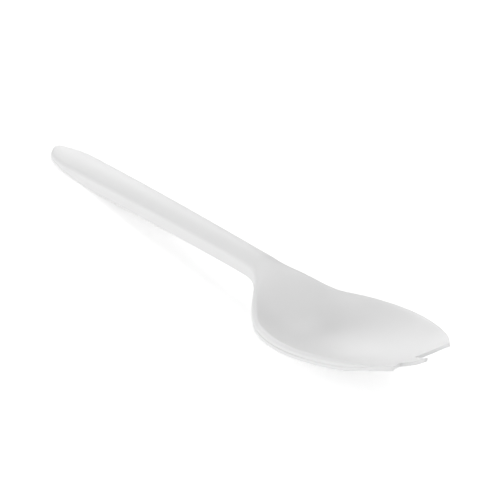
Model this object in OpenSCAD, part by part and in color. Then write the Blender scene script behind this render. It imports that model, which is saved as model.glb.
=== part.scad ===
// Disposable spork, lying face up on its bowl and on the end of its handle.
// The real spork is one moulding, so the nodes are its regions and they meet face to face.
// x runs from the handle end to the tines, y to the left when looking along x, z up. Sizes in mm.
// The origin is under the middle of the spork, on the surface it lies on.

/* [Overall] */
// Length of the handle up to the shoulders of the bowl
handle_len = 89.5; // [80:0.5:98]
// Length of the bowl from the shoulders to the tip of the centre tine
bowl_len = 56; // [52:0.5:60]
// Thickness of the plastic sheet and of the turned-down edge
wall = 1.1; // [0.9:0.05:1.3]
// Draft of the turned-down edge: how much thinner it gets towards its foot
draft = 0.1; // [0.05:0.05:0.25]
// Step in the outer face where the two halves of the mould met
parting_step = 0.05; // [0.02:0.01:0.1]

/* [Handle] */
// Width of the handle near its end
handle_w = 9.6; // [8.6:0.2:11.2]
// Width of the handle where it meets the bowl
neck_w = 6.9; // [6.1:0.2:8.5]
// Length of the rounded end of the handle
end_len = 11.5; // [9:0.5:14]
// How far the middle of the handle stands above its edges
crown = 0.9; // [0.5:0.1:1.4]
// How far the top is rounded down at the very end of the handle
end_round = 0.3; // [0.1:0.1:0.5]
// Largest radius of the long edges of the handle
handle_edge_r = 1.5; // [1.2:0.1:1.9]
// How far the handle arches between its end and the neck
handle_bow = 0.6; // [0:0.1:1.2]
// Depth of the turned-down edge at the end of the handle
end_skirt = 1.5; // [1.2:0.1:2]
// Depth of the turned-down edge along the handle
handle_skirt = 4; // [3.2:0.1:4.6]

/* [Bowl] */
// Width of the bowl at its widest
bowl_w = 34.5; // [30.5:0.5:36.5]
// Depth of the bowl below its rim
bowl_depth = 6; // [5:0.2:6.8]
// Fall of the rim from the neck to the shoulders
rim_drop = 7.6; // [6.6:0.1:8.6]
// Rise of the rim from the shoulders to the tines
rim_lift = 6.2; // [5.5:0.1:7.8]
// Radius of the top of the rim
rim_r = 0.9; // [0.7:0.05:1.1]
// Depth of the turned-down edge along the bowl
bowl_skirt = 2.1; // [2:0.1:2.8]
// Width of the ledge under the rim along the sides of the bowl
ledge_w = 0.25; // [0.15:0.05:0.5]
// Depth of the flat under the bowl that it rests on
pad_cut = 0.25; // [0.15:0.05:0.35]

/* [Tines] */
// Length of the tines
tine_len = 5.9; // [5:0.1:7.2]
// Distance from the middle to the root of each notch
notch_y = 2.5; // [2.1:0.1:3.3]
// Radius of the root of each notch
notch_r = 0.5; // [0.3:0.05:0.7]
// How far the outer tines stop short of the centre tine
outer_short = 1.5; // [0.8:0.1:2.2]
// Radius of the outer edge along the tines
tine_r = 0.3; // [0.2:0.05:0.4]
// Half width of the blunt tip of each tine
tine_tip = 0.4; // [0.3:0.05:0.6]

/* [Hidden] */
length = handle_len + bowl_len;
x_wide = handle_len + bowl_len / 2;
x_root = length - tine_len;
// The egg-shaped bowl's curve is longer ahead of its widest point than behind it
front_more = 2.5;
back_less = 0.8;
front_len = bowl_len / 2 + front_more;
back_len = bowl_len / 2 - back_less;
// How softly the outline starts to widen behind the bowl: 0 is an egg with a full round back
back_soft = 0.24;
// Width over which the handle's outline flows into the bowl's
blend = 1;
// Half width of the blunt nose at the very end of the handle
nose = 0.5;
// Distance over which the turned-down edge of the handle reaches its full depth
skirt_run = 23.5;

// Places along the spork, measured from the shoulders of the bowl. Minus is on the handle.
// The rim starts to fall, and rises again
fall_from = -6;
rise_from = 16.5;
// The crown starts to fade, the bowl starts to dip, and the bowl is deepest
flat_from = -15;
dip_from = -3;
deep_at = 22;
// The long edges start to turn from the handle's radius to the rim's
edge_from = -1;
// The ledge starts to grow
ledge_from = 4;
// The turned-down edge starts to change to its depth on the bowl
skirt_from = -3.3;
// The neck and the bowl start
neck_from = -6;
bowl_from = 8;
x_fall = handle_len + fall_from;
x_rise = handle_len + rise_from;
x_flat = handle_len + flat_from;
x_dip = handle_len + dip_from;
x_deep = handle_len + deep_at;
x_edge = handle_len + edge_from;
x_ledge = handle_len + ledge_from;
x_skirt = handle_len + skirt_from;
x_neck = handle_len + neck_from;
x_bowl = handle_len + bowl_from;

// Lengths over which these changes happen
fall_len = 19.6;
rise_soft = 12;
flat_len = 30;
edge_len = 16.7;
ledge_len = 12;
skirt_len = 14;
// Towards the notches the rim tapers to the plain edge of the tines over this length,
taper_len = 10;
// the turned-down edge ends over this one,
skirt_end = 7;
// and the ledge over this one
ledge_end = 1.8;
// How far past the tips the curve of the bowl would come level with the rim
tip_past = 0.5;
// Power of the curve of the bowl's floor towards the tips: 0.5 is a circle, 1 a parabola
front_power = 0.7;
// Power of the curve across the bowl and the handle: 2 is a parabola
curve = 2.2;
// Chamfer along the foot of the turned-down edge
foot_c = 0.3;
// Length of the solid nose at the end of the handle
x_cap = 1.6;
// Points across half of a panel, round an edge, across half of a tine and round a notch
panel_n = 8;
edge_n = 6;
tine_n = 4;
notch_n = 4;

white = [0.93, 0.93, 0.92];

// A smooth step from 0 to 1
function smooth(t) = let (u = min(max(t, 0), 1)) u * u * u * (u * (6 * u - 15) + 10);
// A line of slope 1 that starts softly near zero
function soft_ramp(d) = (d + sqrt(d * d + rise_soft * rise_soft)) / 2;
function span(a, b, n) = [for (i = [0 : n]) a + (b - a) * i / n];
// The rise of a quarter circle from 0 to 1
function quarter(t) = sqrt(1 - pow(max(0, 1 - t), 2));

// Outline seen from above: a tapered handle with a rounded end, flowing into an egg-shaped bowl
function handle_half(x) =
    let (full = (handle_w + (neck_w - handle_w) * x / handle_len) / 2)
    nose + (full - nose) * quarter(x / end_len);
function bowl_half(x) =
    let (u = x < x_wide ? (x_wide - x) / back_len : (x - x_wide) / front_len,
         q = 1 - u * u,
         e = x < x_wide ? back_soft : 0)
    bowl_w / 2 * sqrt((q + norm([q, e])) / (1 + norm([1, e])));
function half_w(x) =
    let (a = handle_half(x), b = bowl_half(x))
    (a + b + sqrt(pow(a - b, 2) + blend * blend)) / 2;
function half_slope(x) = (half_w(x + 0.1) - half_w(max(x - 0.1, 0))) / (x < 0.1 ? x + 0.1 : 0.2);

// Height of the middle of the section above its edges: above on the handle, below in the bowl
function depth(x) = x > x_deep
    ? bowl_depth * pow(1 - pow((x - x_deep) / (length + tip_past - x_deep), 2), front_power)
    : bowl_depth * smooth((x - x_dip) / (x_deep - x_dip));
function hump(x) =
    crown * (1 - smooth((x - x_flat) / flat_len))
    - end_round * pow(max(0, 1 - x / x_cap), 2)
    - depth(x);

// Depth of the turned-down edge on the handle
function handle_drop(x) = end_skirt + (handle_skirt - end_skirt) * smooth(x / skirt_run);

// Height of the edge, first with the handle level
function level_edge(x) =
    handle_bow * 4 * max(0, x / handle_len * (1 - x / handle_len))
    - rim_drop * smooth((x - x_fall) / fall_len)
    + rim_lift / (length - x_rise) * (soft_ramp(x - x_rise) - soft_ramp(-x_rise));
// Lowest point of the handle's foot and of the bowl when all is sloped by k
function foot_low(k) = min([for (x = [0 : 0.5 : x_neck]) level_edge(x) - handle_drop(x) + k * x]);
function bowl_low(k) =
    min([for (x = [x_bowl : 0.5 : x_root]) level_edge(x) + hump(x) - wall + pad_cut + k * x]);
// The slope at which handle and bowl touch down together, found by repeating
function settle(k, n) = n == 0 ? k : settle(k + (foot_low(k) - bowl_low(k)) / handle_len, n - 1);
rest_slope = settle(0.1, 8);
rest_lift = -foot_low(rest_slope);
function edge_z(x) = level_edge(x) + rest_slope * x + rest_lift;

// A smooth step from 0 to 1 over the last part of the bowl before the notches
function ending(x, over) = smooth((x - x_root + over) / over);
function edge_r(x) =
    let (r = handle_edge_r + (rim_r - handle_edge_r) * smooth((x - x_edge) / edge_len))
    min(r + (tine_r - r) * ending(x, taper_len), 0.6 * half_w(x));
function ledge(x) =
    let (grown = smooth((x - x_ledge) / ledge_len) * (1 - ending(x, ledge_end)))
    parting_step + (ledge_w - parting_step) * grown;
function skirt(x, edge_low) =
    let (on_bowl = handle_drop(x) + (bowl_skirt - handle_drop(x)) * smooth((x - x_skirt) / skirt_len))
    on_bowl + (edge_low + wall - on_bowl) * ending(x, skirt_end);

// Where the panel's curve ends and the round of its edge starts, found by repeating
function panel_end(w, r, h, y, k) =
    k == 0 ? y : panel_end(w, r, h, w - r * (1 + sin(atan(-h * curve / y))), k - 1);

// All that is needed to draw the section at x:
// [x, edge height, hump, panel end, slope angle there, edge radius, top half width, half width,
//  border between panel and edge, skirt foot]
function station(x) =
    let (w = half_w(x), top_w = w - ledge(x), r = edge_r(x), h = hump(x), z = edge_z(x),
         y = panel_end(top_w, r, h, top_w - r, 8),
         tilt = atan(-h * curve / y),
         split = w - min(0.6 * w, wall * sqrt(1 + pow(half_slope(x), 2))))
    [x, z, h, y, tilt, r, top_w, w, split, z - skirt(x, r * cos(tilt))];

function top_z(s, y) =
    abs(y) <= s[3]
    ? s[1] + s[2] * (1 - pow(abs(y) / s[3], curve))
    : let (q = max(-1, sin(s[4]) - (abs(y) - s[3]) / s[5])) s[1] + s[5] * (sqrt(1 - q * q) - cos(s[4]));

function at(s, y, z) = [s[0] - length / 2, y, z];
function edge_y(s, i) = s[8] + (s[6] - s[8]) * sin(90 * i / edge_n);

// Ring of a strip of sheet between two values of y
function strip_ring(s, ys) = concat(
    [for (y = ys) at(s, y, top_z(s, y))],
    [for (i = [len(ys) - 1 : -1 : 0]) at(s, ys[i], top_z(s, ys[i]) - wall)]);
function panel_ring(s) = strip_ring(s, span(-s[8], s[8], 2 * panel_n));

// Ring of the left turned-down edge: round top, ledge, outer face, foot and inner face
function skirt_ring(s) =
    let (low = top_z(s, s[6]), drop = low - s[9], c = min(foot_c, 0.2 * drop))
    concat(
        [for (i = [0 : edge_n]) at(s, edge_y(s, i), top_z(s, edge_y(s, i)))],
        [at(s, s[6], low - 0.16 * drop),
         at(s, s[6] + 0.7 * (s[7] - s[6]), low - 0.22 * drop),
         at(s, s[7], low - 0.36 * drop),
         at(s, s[7], s[9] + c),
         at(s, s[7] - c, s[9]),
         at(s, s[8] + draft + c, s[9]),
         at(s, s[8] + draft, s[9] + c),
         at(s, s[8], top_z(s, s[8]) - wall)]);

// Ring of the solid nose of the handle
function nose_ring(s) =
    let (low = top_z(s, s[6]), c = min(foot_c, 0.2 * (low - s[9])))
    concat(
        [for (j = [-edge_n : edge_n]) let (y = s[7] * sin(90 * j / edge_n)) at(s, y, top_z(s, y))],
        [at(s, s[7], s[9] + c),
         at(s, s[7] - c, s[9]),
         at(s, c - s[7], s[9]),
         at(s, -s[7], s[9] + c)]);

// Rings of the tines. u runs from 0 at the root of the notch to 1 at the tip
function centre_ring(u) =
    let (s = station(x_root + tine_len * u),
         side = notch_y - notch_r * quarter(tine_len * u / notch_r),
         y = tine_tip + (side - tine_tip) * pow(1 - pow(u, 1.6), 0.6))
    strip_ring(s, span(-y, y, 2 * tine_n));
function outer_ring(u) =
    let (len_u = (tine_len - outer_short) * u,
         s = station(x_root + len_u),
         side = notch_y + notch_r * quarter(len_u / notch_r),
         inner = side + (s[7] - tine_tip - side) * pow(u, 1.1))
    strip_ring(s, [for (i = [0 : 2 * tine_n]) inner + (s[7] - inner) * sin(90 * i / (2 * tine_n))]);

// Triangles that close a ring of n points: across a strip, or fanned out from its last point
function strip_cap(n) =
    [for (i = [0 : n / 2 - 2]) each [[i, i + 1, n - 1 - i], [i + 1, n - 2 - i, n - 1 - i]]];
function fan_cap(n) = [for (i = [0 : n - 3]) [i, i + 1, n - 1]];

// Solid through a row of rings
module loft(rings, cap) {
    n = len(rings[0]);
    m = len(rings);
    first = [for (t = cap) [t[2], t[1], t[0]]];
    last = [for (t = cap) [for (i = t) (m - 1) * n + i]];
    sides = [for (k = [0 : m - 2]) for (i = [0 : n - 1])
        let (a = k * n + i, b = k * n + (i + 1) % n)
        each [[a, b, a + n], [b, b + n, a + n]]];
    polyhedron(points = [for (r = rings) each r], faces = concat(sides, first, last), convexity = 10);
}

// Stations along each region
cap_xs = [for (t = span(0, 1, 6)) x_cap * pow(t, 1.6)];
end_xs = [for (t = span(0, 1, 9)) x_cap + (end_len - x_cap) * pow(t, 1.2)];
handle_xs = concat(end_xs, [for (i = [1 : 18]) end_len + (x_neck - end_len) * i / 18]);
neck_xs = span(x_neck, x_bowl, 20);
x_ledge_end = x_root - ledge_end;
bowl_xs = concat(span(x_bowl, x_ledge_end, 30), [for (i = [1 : 4]) x_ledge_end + ledge_end * i / 4]);
notch_us = [for (i = [0 : notch_n]) notch_r / tine_len * (1 - cos(90 * i / notch_n))];
tine_us = concat(notch_us, [0.16, 0.28, 0.42, 0.56, 0.7, 0.82, 0.9, 0.96, 1]);

module panel(xs) {
    rings = [for (x = xs) panel_ring(station(x))];
    loft(rings, strip_cap(len(rings[0])));
}

module left_skirt(xs) {
    rings = [for (x = xs) skirt_ring(station(x))];
    loft(rings, fan_cap(len(rings[0])));
}

// The right side is the left side seen in a mirror
module right_skirt(xs) {
    mirror([0, 1, 0]) left_skirt(xs);
}

module handle_end() {
    rings = [for (x = cap_xs) nose_ring(station(x))];
    color(white) loft(rings, fan_cap(len(rings[0])));
}

module handle() {
    color(white) panel(handle_xs);
}

module handle_left_skirt() {
    color(white) left_skirt(handle_xs);
}

module handle_right_skirt() {
    color(white) right_skirt(handle_xs);
}

module neck() {
    color(white) panel(neck_xs);
}

module neck_left_skirt() {
    color(white) left_skirt(neck_xs);
}

module neck_right_skirt() {
    color(white) right_skirt(neck_xs);
}

// The bowl is cut flat underneath where it rests
module bowl() {
    color(white) difference() {
        panel(bowl_xs);
        translate([0, -bowl_w / 2, -bowl_depth]) cube([bowl_len, bowl_w, bowl_depth]);
    }
}

module bowl_left_skirt() {
    color(white) left_skirt(bowl_xs);
}

module bowl_right_skirt() {
    color(white) right_skirt(bowl_xs);
}

module left_tine() {
    rings = [for (u = tine_us) outer_ring(u)];
    color(white) loft(rings, strip_cap(len(rings[0])));
}

module centre_tine() {
    rings = [for (u = tine_us) centre_ring(u)];
    color(white) loft(rings, strip_cap(len(rings[0])));
}

module right_tine() {
    mirror([0, 1, 0]) left_tine();
}

handle_end();
handle();
handle_left_skirt();
handle_right_skirt();
neck();
neck_left_skirt();
neck_right_skirt();
bowl();
bowl_left_skirt();
bowl_right_skirt();
left_tine();
centre_tine();
right_tine();
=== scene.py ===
import math

import bpy
import numpy as np
from mathutils import Matrix, Vector


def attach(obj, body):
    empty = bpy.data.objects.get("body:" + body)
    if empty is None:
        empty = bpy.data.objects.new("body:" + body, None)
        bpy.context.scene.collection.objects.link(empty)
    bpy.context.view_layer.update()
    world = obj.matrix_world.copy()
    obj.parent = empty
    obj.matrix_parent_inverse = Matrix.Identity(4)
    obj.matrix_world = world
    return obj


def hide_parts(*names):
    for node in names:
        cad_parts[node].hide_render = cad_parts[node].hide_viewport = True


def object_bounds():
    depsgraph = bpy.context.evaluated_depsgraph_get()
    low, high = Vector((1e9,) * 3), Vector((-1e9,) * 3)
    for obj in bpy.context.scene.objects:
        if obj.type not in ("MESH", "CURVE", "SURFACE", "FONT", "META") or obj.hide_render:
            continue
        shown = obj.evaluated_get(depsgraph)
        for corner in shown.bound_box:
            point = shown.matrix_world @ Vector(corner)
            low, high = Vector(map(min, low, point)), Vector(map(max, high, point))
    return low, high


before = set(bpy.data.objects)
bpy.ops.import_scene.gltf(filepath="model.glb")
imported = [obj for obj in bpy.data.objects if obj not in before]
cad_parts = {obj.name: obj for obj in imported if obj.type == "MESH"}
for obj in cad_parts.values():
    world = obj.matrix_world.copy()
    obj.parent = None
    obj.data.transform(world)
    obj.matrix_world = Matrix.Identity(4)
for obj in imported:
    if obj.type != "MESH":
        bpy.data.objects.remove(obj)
cad_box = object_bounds()

# Sizes in mm, with the names that the part's source uses
MM = 0.001
handle_len, bowl_len = 89.5, 56.0
wall, draft, parting_step = 1.1, 0.1, 0.05
handle_w, neck_w, end_len = 9.6, 6.9, 11.5
crown, end_round, handle_edge_r, handle_bow = 0.9, 0.3, 1.5, 0.6
end_skirt, handle_skirt, skirt_run = 1.5, 4.0, 23.5
bowl_w, bowl_depth, rim_drop, rim_lift = 34.5, 6.0, 7.6, 6.2
rim_r, bowl_skirt, ledge_w, pad_cut = 0.9, 2.1, 0.25, 0.25
tine_len, notch_y, notch_r, outer_short = 5.9, 2.5, 0.5, 1.5
tine_r, tine_tip = 0.3, 0.4

length = handle_len + bowl_len
x_wide = handle_len + bowl_len / 2
x_root = length - tine_len
back_less, front_more, back_soft = 0.8, 2.5, 0.24
back_len, front_len = bowl_len / 2 - back_less, bowl_len / 2 + front_more
blend, nose, curve, foot_c = 1.0, 0.5, 2.2, 0.3
tip_past, front_power = 0.5, 0.7

# Places measured from the shoulders of the bowl, and the lengths over which something changes there
x_skirt, skirt_len = handle_len - 3.3, 14.0
x_fall, fall_len = handle_len - 6, 19.6
x_rise, rise_soft = handle_len + 16.5, 12.0
x_flat, flat_len = handle_len - 15, 30.0
x_edge, edge_len = handle_len - 1, 16.7
x_ledge, ledge_len = handle_len + 4, 12.0
# The bowl starts to dip, and is deepest
x_dip, x_deep = handle_len - 3, handle_len + 22
# Lengths over which the rim tapers and the turned-down edge and the ledge end before the notches
taper_len, skirt_end, ledge_end = 10.0, 7.0, 1.8
# The solid nose ends, the neck starts, and the bowl starts
x_cap, x_neck, x_bowl = 1.6, handle_len - 6, handle_len + 8

# Fillet inside the turned-down edge and round of the tines' cut edges, which only the skin has,
# and the share of a tine over which that round grows
fillet, cut_r, cut_start = 0.5, 0.2, 0.25

# Powers of the curved sides of the centre tine and of the inner side of an outer one
centre_curve, centre_blunt, outer_curve = 1.6, 0.6, 1.1

# Largest shares: of the half width for an edge's round or wall, of the edge's depth for its foot,
# and of the inner face's height and of half the underside for the fillet
most_side, most_foot, most_fillet, most_under = 0.6, 0.2, 0.4, 0.5

# Where the ledge starts and ends, as shares of the turned-down edge below the rim
ledge_high, ledge_low = 0.08, 0.36

# Points across half a panel, round the rim, over the ledge, round a small edge,
# across half the underside and across a tine
PANEL_N, RIM_N, LEDGE_N, ROUND_N, UNDER_N, TINE_N = 28, 14, 8, 5, 20, 24

# Sections along the nose, the rounded end, the handle, the neck, the bowl and its last stretch,
# and along a tine beside the root of its notch and past it
CAP_N, END_N, HANDLE_N, NECK_N, BOWL_N, LAST_N, NOTCH_N, PAST_N = 14, 30, 70, 50, 110, 20, 10, 28

# Rounds in which a value that depends on itself is worked out
ROUNDS = 8

# Smallest length that is divided by
TINY = 1e-12


def smooth(t):
    """A smooth step from 0 to 1."""
    u = np.clip(t, 0, 1)
    return u**3 * (u * (6 * u - 15) + 10)


def soft_ramp(d):
    """A line of slope 1 that starts softly near zero."""
    return (d + np.sqrt(d * d + rise_soft**2)) / 2


def quarter(t):
    """The rise of a quarter circle from 0 to 1."""
    return np.sqrt(1 - np.maximum(0, 1 - t) ** 2)


# Outline seen from above
def handle_half(x):
    """Half width of the handle, with its rounded end."""
    full = (handle_w + (neck_w - handle_w) * x / handle_len) / 2
    return nose + (full - nose) * quarter(x / end_len)


def bowl_half(x):
    """Half width of the egg-shaped bowl."""
    u = np.where(x < x_wide, (x_wide - x) / back_len, (x - x_wide) / front_len)
    q = 1 - u * u
    e = np.where(x < x_wide, back_soft, 0)
    return bowl_w / 2 * np.sqrt((q + np.hypot(q, e)) / (1 + np.hypot(1, e)))


def half_w(x):
    """Half width of the spork: the wider of the two, with a soft change between them."""
    a, b = handle_half(x), bowl_half(x)
    return (a + b + np.sqrt((a - b) ** 2 + blend**2)) / 2


def half_slope(x):
    """How quickly the half width grows along the spork."""
    step = 0.1
    before = np.maximum(x - step, 0)
    return (half_w(x + step) - half_w(before)) / (x + step - before)


# Heights along the middle and along the edge
def depth(x):
    """Depth of the bowl below its rim."""
    ahead = np.clip(1 - ((x - x_deep) / (length + tip_past - x_deep)) ** 2, 0, 1) ** front_power
    return bowl_depth * np.where(x > x_deep, ahead, smooth((x - x_dip) / (x_deep - x_dip)))


def hump(x):
    """How far the middle stands above the edges. In the bowl it is less than zero."""
    crowned = crown * (1 - smooth((x - x_flat) / flat_len))
    return crowned - end_round * np.maximum(0, 1 - x / x_cap) ** 2 - depth(x)


def handle_drop(x):
    """Depth of the turned-down edge along the handle."""
    return end_skirt + (handle_skirt - end_skirt) * smooth(x / skirt_run)


def level_edge(x):
    """Height of the edges before the spork is laid down."""
    along = x / handle_len
    bow = handle_bow * 4 * np.maximum(0, along * (1 - along))
    rise = rim_lift / (length - x_rise) * (soft_ramp(x - x_rise) - soft_ramp(-x_rise))
    return bow - rim_drop * smooth((x - x_fall) / fall_len) + rise


def resting():
    """Slope and lift with which the handle and the bowl touch down together."""
    step, margin = 0.5, 0.01
    on_handle = np.arange(0, x_neck + margin, step)
    on_bowl = np.arange(x_bowl, x_root + margin, step)
    foot = level_edge(on_handle) - handle_drop(on_handle)
    under = level_edge(on_bowl) + hump(on_bowl) - wall + pad_cut
    # a first guess, which each round makes better
    slope = 0.1
    for _ in range(ROUNDS):
        gap = (foot + slope * on_handle).min() - (under + slope * on_bowl).min()
        slope += gap / handle_len
    return slope, -(foot + slope * on_handle).min()


rest_slope, rest_lift = resting()


def edge_z(x):
    """Height of the edges of the spork as it lies."""
    return level_edge(x) + rest_slope * x + rest_lift


def ending(x, over):
    """A smooth step from 0 to 1 over the last part of the bowl before the notches."""
    return smooth((x - x_root + over) / over)


def edge_r(x):
    """Radius of the round of the edges."""
    r = handle_edge_r + (rim_r - handle_edge_r) * smooth((x - x_edge) / edge_len)
    return np.minimum(r + (tine_r - r) * ending(x, taper_len), most_side * half_w(x))


def ledge(x):
    """Width of the ledge under the rim."""
    grown = smooth((x - x_ledge) / ledge_len) * (1 - ending(x, ledge_end))
    return parting_step + (ledge_w - parting_step) * grown


def skirt(x, edge_low):
    """Depth of the turned-down edge, which ends at the notches as plain sheet."""
    on_bowl = handle_drop(x) + (bowl_skirt - handle_drop(x)) * smooth((x - x_skirt) / skirt_len)
    return on_bowl + (edge_low + wall - on_bowl) * ending(x, skirt_end)


class Section:
    """The cross-sections at the places x, one row each."""

    def __init__(self, x):
        self.x = np.asarray(x, float).reshape(-1, 1)
        self.z, self.hump, self.r = edge_z(self.x), hump(self.x), edge_r(self.x)
        self.w = half_w(self.x)
        self.top_w = self.w - ledge(self.x)
        self.panel = self.top_w - self.r
        for _ in range(ROUNDS):
            self.tilt = np.arctan(-self.hump * curve / self.panel)
            self.panel = self.top_w - self.r * (1 + np.sin(self.tilt))
        self.tilt = np.arctan(-self.hump * curve / self.panel)
        reach = wall * np.sqrt(1 + half_slope(self.x) ** 2)
        self.split = self.w - np.minimum(most_side * self.w, reach)
        self.foot = self.z - skirt(self.x, self.r * np.cos(self.tilt))

    def top(self, y):
        """Height of the upper face at y."""
        y = np.abs(y)
        q = np.clip(np.sin(self.tilt) - (y - self.panel) / self.r, -1, 1)
        inside = self.hump * (1 - (np.minimum(y, self.panel) / self.panel) ** curve)
        rounded = self.r * (np.sqrt(1 - q * q) - np.cos(self.tilt))
        return self.z + np.where(y <= self.panel, inside, rounded)

    def points(self, y, z):
        """Rows of points in the part's frame."""
        shape = np.broadcast(self.x, y, z).shape
        parts = [np.broadcast_to(v, shape) for v in (self.x - length / 2, y, z)]
        return np.stack(parts, -1)


def row(n, skip_first=True):
    """Steps from 0 to 1, as one row."""
    return np.linspace(0, 1, n + 1)[None, int(skip_first):]


def half_section(x):
    """Left half of each section: upper face, rim, ledge, outer face, foot, inner face, underside."""
    s = Section(x)
    low = s.top(s.top_w)
    drop = low - s.foot
    c = np.minimum(foot_c, most_foot * drop)
    corner = s.top(s.split) - wall
    f = np.minimum(fillet, np.minimum(most_fillet * (corner - s.foot - c), most_under * s.split))
    turn = np.pi / 2 * row(ROUND_N, False)

    ys = [s.split * row(PANEL_N, False)]
    ys.append(s.split + (s.top_w - s.split) * np.sin(np.pi / 2 * row(RIM_N)))
    zs = [s.top(y) for y in ys]
    # ledge, then the rounds of the foot outside and inside
    ys.append(s.top_w + (s.w - s.top_w) * smooth(row(LEDGE_N)))
    zs.append(low - drop * (ledge_high + (ledge_low - ledge_high) * row(LEDGE_N)))
    ys.append(s.w - c + c * np.cos(turn))
    zs.append(s.foot + c - c * np.sin(turn))
    inner = s.split + draft
    ys.append(inner + c - c * np.sin(turn))
    zs.append(s.foot + c - c * np.cos(turn))
    # fillet between the inner face and the underside
    t = row(ROUND_N, False)
    ys.append(s.split - f * t * t)
    under_end = s.top(s.split - f) - wall
    zs.append((1 - t) ** 2 * (corner - f) + 2 * t * (1 - t) * corner + t * t * under_end)
    ys.append((s.split - f) * (1 - row(UNDER_N)))
    zs.append(s.top(ys[-1]) - wall)
    y = np.concatenate([np.broadcast_to(v, (len(s.x), v.shape[1])) for v in ys], 1)
    z = np.concatenate([np.broadcast_to(v, (len(s.x), v.shape[1])) for v in zs], 1)
    # the fine skin stays inside the part's box
    return s.points(np.minimum(y, cad_box[1][1] / MM), np.maximum(z, 0))


# Column of a half section at which the underside starts, after three small rounds
UNDER_FROM = PANEL_N + RIM_N + LEDGE_N + 3 * (ROUND_N + 1)


def nose_section(x):
    """Left half of each section of the solid nose of the handle."""
    s = Section(x)
    low = s.top(s.w)
    c = np.minimum(foot_c, most_foot * (low - s.foot))
    turn = np.pi / 2 * row(ROUND_N, False)
    ys = [s.w * np.sin(np.pi / 2 * row(PANEL_N, False))]
    ys.append(s.w - c + c * np.cos(turn))
    ys.append((s.w - c) * (1 - row(ROUND_N)))
    zs = [s.top(ys[0]), s.foot + c - c * np.sin(turn), np.broadcast_to(s.foot, ys[2].shape)]
    return s.points(np.concatenate(ys, 1), np.concatenate(zs, 1))


def strip(s, inner, outer, soft):
    """Ring of a strip of sheet between two values of y, with cut edges rounded by soft."""
    t = (1 - np.cos(np.pi * row(TINE_N, False))) / 2
    y = inner + (outer - inner) * t
    near = np.minimum(np.minimum(y - inner, outer - y) / np.maximum(soft, TINY), 1)
    worn = soft * (1 - np.sqrt(1 - (1 - near) ** 2))
    top = s.top(y) - worn
    under = s.top(y) - wall + worn
    return np.concatenate([s.points(y, top), s.points(y, under)[:, ::-1]], 1)


def centre_section(u):
    """Rings of the centre tine, from the roots of the notches, 0, to its tip, 1."""
    u = np.asarray(u, float).reshape(-1, 1)
    side = notch_y - notch_r * quarter(tine_len * u / notch_r)
    narrowing = np.maximum(0, 1 - np.maximum(u, 0) ** centre_curve) ** centre_blunt
    y = tine_tip + (side - tine_tip) * narrowing
    return strip(Section(x_root + tine_len * u), -y, y, cut_r * np.clip(u / cut_start, 0, 1))


def outer_section(u):
    """Rings of the left tine, from the root of its notch, 0, to its tip, 1."""
    u = np.asarray(u, float).reshape(-1, 1)
    along = (tine_len - outer_short) * u
    s = Section(x_root + along)
    side = notch_y + notch_r * quarter(along / notch_r)
    inner = side + (s.w - tine_tip - side) * np.maximum(u, 0) ** outer_curve
    return strip(s, inner, s.w, cut_r * np.clip(u / cut_start, 0, 1))


def mirrored(grid):
    """The same points or directions on the other side of the middle."""
    return grid * np.array([1, -1, 1])


def surface(section, steps, ring=False):
    """Points of the sections and the directions that the surface faces there."""
    # a small step to either side
    h = 0.002 * (steps[-1] - steps[0])
    points = section(steps)
    ahead = section(np.minimum(steps + h, steps[-1])) - section(np.maximum(steps - h, steps[0]))
    if ring:
        around = np.roll(points, -1, 1) - np.roll(points, 1, 1)
    else:
        wide = np.concatenate([mirrored(points[:, 1:2]), points, mirrored(points[:, -2:-1])], 1)
        around = wide[:, 2:] - wide[:, :-2]
    facing = np.cross(ahead, around)
    size = np.linalg.norm(facing, axis=-1, keepdims=True)
    return points, facing / np.maximum(size, TINY)


def skin(name, points, facing, walls, flip=False):
    """A closed piece through rows of rings. Walls are the columns that close it inside, and stay flat."""
    if flip:
        points, facing = mirrored(points), mirrored(facing)
    m, n = points.shape[:2]
    faces, normals = [], []

    def add(corners, directions):
        if flip:
            corners, directions = corners[::-1], directions[::-1]
        faces.append(corners)
        normals.extend(directions)

    for i in range(m - 1):
        for j in range(n):
            k = (j + 1) % n
            corners = [(i, j), (i + 1, j), (i + 1, k), (i, k)]
            if j in walls:
                a, b, c = (points[p] for p in corners[:3])
                flat = np.cross(b - a, c - a) * (-1 if flip else 1)
                size = np.linalg.norm(flat)
                directions = [flat / size if size > TINY else facing[i, j]] * 4
            else:
                directions = [facing[p] for p in corners]
            add([p[0] * n + p[1] for p in corners], directions)
    add(list(range(n)), [(-1, 0, 0)] * n)
    add([(m - 1) * n + j for j in range(n - 1, -1, -1)], [(1, 0, 0)] * n)

    mesh = bpy.data.meshes.new(name)
    mesh.from_pydata((points.reshape(-1, 3) * MM).tolist(), [], faces)
    mesh.polygons.foreach_set("use_smooth", [True] * len(faces))
    mesh.normals_split_custom_set([tuple(v) for v in normals])
    mesh.materials.append(plastic)
    piece = bpy.data.objects.new(name, mesh)
    bpy.context.scene.collection.objects.link(piece)
    return piece


def panel_skin(name, xs):
    """Upper face and underside between the turned-down edges."""
    grids = []
    for grid in surface(half_section, xs):
        top, under = grid[:, : PANEL_N + 1], grid[:, UNDER_FROM - 1 :]
        grids.append(np.concatenate(
            [mirrored(top[:, :0:-1]), top, under, mirrored(under[:, -2::-1])], 1))
    n = grids[0].shape[1]
    return skin(name, *grids, walls={2 * PANEL_N, n - 1})


def edge_skin(name, xs, flip):
    """The turned-down edge with its rim, ledge and foot."""
    grids = [grid[:, PANEL_N:UNDER_FROM] for grid in surface(half_section, xs)]
    return skin(name, *grids, walls={grids[0].shape[1] - 1}, flip=flip)


def nose_skin(name, xs):
    """The solid nose of the handle."""
    grids = []
    for grid in surface(nose_section, xs):
        grids.append(np.concatenate([mirrored(grid[:, :0:-1]), grid[:, :-1]], 1))
    return skin(name, *grids, walls=set())


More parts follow.
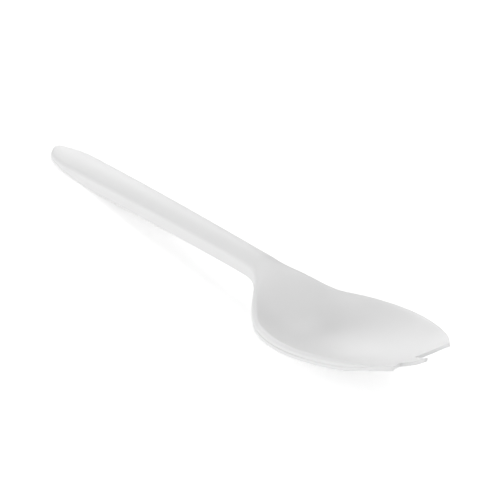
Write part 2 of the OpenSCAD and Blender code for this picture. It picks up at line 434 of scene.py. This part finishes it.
def tine_skin(name, section, us, flip=False):
    """A tine, as rings of a strip of sheet."""
    return skin(name, *surface(section, us, ring=True), walls=set(), flip=flip)


def empty_tree(owner):
    """Nodes and links of a material or world, with nothing in them yet."""
    owner.use_nodes = True
    tree = owner.node_tree
    tree.nodes.clear()
    return tree.nodes, tree.links


def make_plastic():
    """White polypropylene: satin, with a fine grain and faint flow marks."""
    material = bpy.data.materials.new("white_plastic")
    nodes, links = empty_tree(material)
    out = nodes.new("ShaderNodeOutputMaterial")
    shader = nodes.new("ShaderNodeBsdfPrincipled")
    links.new(shader.outputs["BSDF"], out.inputs["Surface"])
    where = nodes.new("ShaderNodeTexCoord")

    def noise(scale, detail):
        node = nodes.new("ShaderNodeTexNoise")
        node.inputs["Scale"].default_value = scale
        node.inputs["Detail"].default_value = detail
        links.new(where.outputs["Object"], node.inputs["Vector"])
        return node.outputs["Fac"]

    def ramp(value, low, high):
        node = nodes.new("ShaderNodeMapRange")
        node.inputs["To Min"].default_value = low
        node.inputs["To Max"].default_value = high
        links.new(value, node.inputs["Value"])
        return node.outputs["Result"]

    flow = noise(scale=120, detail=3)
    grain = noise(scale=3500, detail=2)
    shade = nodes.new("ShaderNodeMix")
    shade.data_type = "RGBA"
    # sockets 6 and 7 are the two colours, 0 is the share of the second, and output 2 is their mix
    shade.inputs[6].default_value = (0.845, 0.845, 0.845, 1)
    shade.inputs[7].default_value = (0.87, 0.87, 0.87, 1)
    links.new(flow, shade.inputs[0])
    links.new(shade.outputs[2], shader.inputs["Base Color"])
    links.new(ramp(flow, low=0.33, high=0.45), shader.inputs["Roughness"])
    bump = nodes.new("ShaderNodeBump")
    bump.inputs["Strength"].default_value = 0.15
    bump.inputs["Distance"].default_value = 0.00002
    links.new(grain, bump.inputs["Height"])
    links.new(bump.outputs["Normal"], shader.inputs["Normal"])
    shader.inputs["IOR"].default_value = 1.49
    return material


plastic = make_plastic()

# places of the sections, closest together at the end of the handle
cap_xs = x_cap * np.linspace(0, 1, CAP_N) ** 2
end_xs = np.linspace(x_cap, end_len, END_N)
handle_xs = np.concatenate([end_xs[:-1], np.linspace(end_len, x_neck, HANDLE_N)])
neck_xs = np.linspace(x_neck, x_bowl, NECK_N)
x_last = x_root - ledge_end
last_xs = np.linspace(x_last, x_root, LAST_N)
bowl_xs = np.concatenate([np.linspace(x_bowl, x_last, BOWL_N)[:-1], last_xs])
# steps along a tine, closest together round the root of its notch and at its tip
u_notch, closing = 0.12, 1.3
past_notch = 1 - (1 - u_notch) * np.linspace(1, 0, PAST_N) ** closing
tine_us = np.concatenate([np.linspace(0, u_notch, NOTCH_N)[:-1], past_notch])

pieces = {
    "handle_end": nose_skin("moulded_handle_end", cap_xs),
    "handle": panel_skin("moulded_handle", handle_xs),
    "neck": panel_skin("moulded_neck", neck_xs),
    "bowl": panel_skin("moulded_bowl", bowl_xs),
    "left_tine": tine_skin("moulded_left_tine", outer_section, tine_us),
    "centre_tine": tine_skin("moulded_centre_tine", centre_section, tine_us),
    "right_tine": tine_skin("moulded_right_tine", outer_section, tine_us, flip=True),
}
for region, xs in (("handle", handle_xs), ("neck", neck_xs), ("bowl", bowl_xs)):
    for side in ("left", "right"):
        node = f"{region}_{side}_skirt"
        pieces[node] = edge_skin("moulded_" + node, xs, flip=side == "right")
for node, piece in pieces.items():
    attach(piece, "root")
    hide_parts(node)


def make_floor():
    """A pale floor. The camera sees it as white paper, with the shadow that falls on it."""
    half, below = 0.45, -0.02 * MM
    corners = [(-half, -half, below), (half, -half, below), (half, half, below), (-half, half, below)]
    mesh = bpy.data.meshes.new("floor")
    mesh.from_pydata(corners, [], [(0, 1, 2, 3)])
    floor = bpy.data.objects.new("floor", mesh)
    bpy.context.scene.collection.objects.link(floor)
    material = bpy.data.materials.new("floor_paper")
    nodes, links = empty_tree(material)
    out = nodes.new("ShaderNodeOutputMaterial")
    paper = nodes.new("ShaderNodeBsdfDiffuse")
    paper.inputs["Color"].default_value = (0.93, 0.93, 0.93, 1)
    glow = nodes.new("ShaderNodeEmission")
    glow.inputs["Strength"].default_value = 0.48
    both = nodes.new("ShaderNodeAddShader")
    links.new(paper.outputs[0], both.inputs[0])
    links.new(glow.outputs[0], both.inputs[1])
    path = nodes.new("ShaderNodeLightPath")
    seen = nodes.new("ShaderNodeMath")
    seen.operation = "MAXIMUM"
    links.new(path.outputs["Is Camera Ray"], seen.inputs[0])
    links.new(path.outputs["Is Glossy Ray"], seen.inputs[1])
    through = nodes.new("ShaderNodeMath")
    through.operation = "MAXIMUM"
    links.new(seen.outputs[0], through.inputs[0])
    links.new(path.outputs["Is Transmission Ray"], through.inputs[1])
    choose = nodes.new("ShaderNodeMixShader")
    links.new(through.outputs[0], choose.inputs[0])
    links.new(paper.outputs[0], choose.inputs[1])
    links.new(both.outputs[0], choose.inputs[2])
    links.new(choose.outputs[0], out.inputs["Surface"])
    mesh.materials.append(material)


def make_light():
    """A pale room and soft lamps all round, as in a light tent. Sizes in metres, power in watts."""
    world = bpy.data.worlds.new("room")
    bpy.context.scene.world = world
    nodes, links = empty_tree(world)
    out = nodes.new("ShaderNodeOutputWorld")
    path = nodes.new("ShaderNodeLightPath")
    choose = nodes.new("ShaderNodeMixShader")
    links.new(path.outputs["Is Camera Ray"], choose.inputs[0])
    links.new(choose.outputs[0], out.inputs["Surface"])
    # the light of the room, and the white that the camera sees behind the floor
    for socket, strength in ((1, 0.31), (2, 1)):
        room = nodes.new("ShaderNodeBackground")
        room.inputs["Color"].default_value = (1, 1, 1, 1)
        room.inputs["Strength"].default_value = strength
        links.new(room.outputs[0], choose.inputs[socket])

    def lamp(name, place, wide, high, power):
        light = bpy.data.lights.new(name, "AREA")
        light.shape = "RECTANGLE"
        light.size = wide
        light.size_y = high
        light.energy = power
        holder = bpy.data.objects.new(name, light)
        holder.location = place
        holder.rotation_euler = (-Vector(place)).to_track_quat("-Z", "Y").to_euler()
        bpy.context.scene.collection.objects.link(holder)

    lamp("back_top", (0, 0.32, 0.51), 0.7, 0.45, 1.5)
    lamp("front_strip", (0.15, -0.57, 0.104), 0.8, 0.14, 1.15)
    lamp("front_left", (-0.18, -0.43, 0.29), 0.4, 0.4, 0.72)
    lamp("tine_side", (0.54, 0, 0.096), 0.4, 0.16, 0.27)
    lamp("handle_side", (-0.42, 0.18, 0.13), 0.35, 0.2, 0.5)
    lamp("back_right", (0.3, 0.3, 0.35), 0.4, 0.4, 0.2)


def make_camera():
    """Camera at the photo's viewing angle. Scale is in pixels for each mm, and centre in pixels."""
    photo_px = 500
    middle = (photo_px - 1) / 2
    azimuth, elevation, roll = (math.radians(a) for a in (50.29, 31.62, 3.13))
    away, scale, aim = 0.75, 4.074, Vector((0, 0, 0.006))
    centre = (227.44, 253.94)
    level = Vector((math.cos(azimuth), math.sin(azimuth), 0))
    ahead = Vector((-math.sin(azimuth), math.cos(azimuth), 0))
    back = Vector((0, 0, math.sin(elevation))) - ahead * math.cos(elevation)
    above = back.cross(level)
    right = math.cos(roll) * level + math.sin(roll) * above
    up = math.cos(roll) * above - math.sin(roll) * level
    data = bpy.data.cameras.new("camera")
    camera = bpy.data.objects.new("camera", data)
    place = Matrix((right, up, back)).transposed().to_4x4()
    place.translation = aim + back * away
    camera.matrix_world = place
    data.sensor_width = 36
    data.lens = scale * away / MM / photo_px * data.sensor_width
    data.shift_x = (middle - centre[0]) / photo_px
    data.shift_y = (centre[1] - middle) / photo_px
    data.clip_end = 10
    bpy.context.scene.collection.objects.link(camera)
    bpy.context.scene.camera = camera


make_floor()
make_light()
make_camera()
bpy.context.scene.view_settings.view_transform = "Standard"
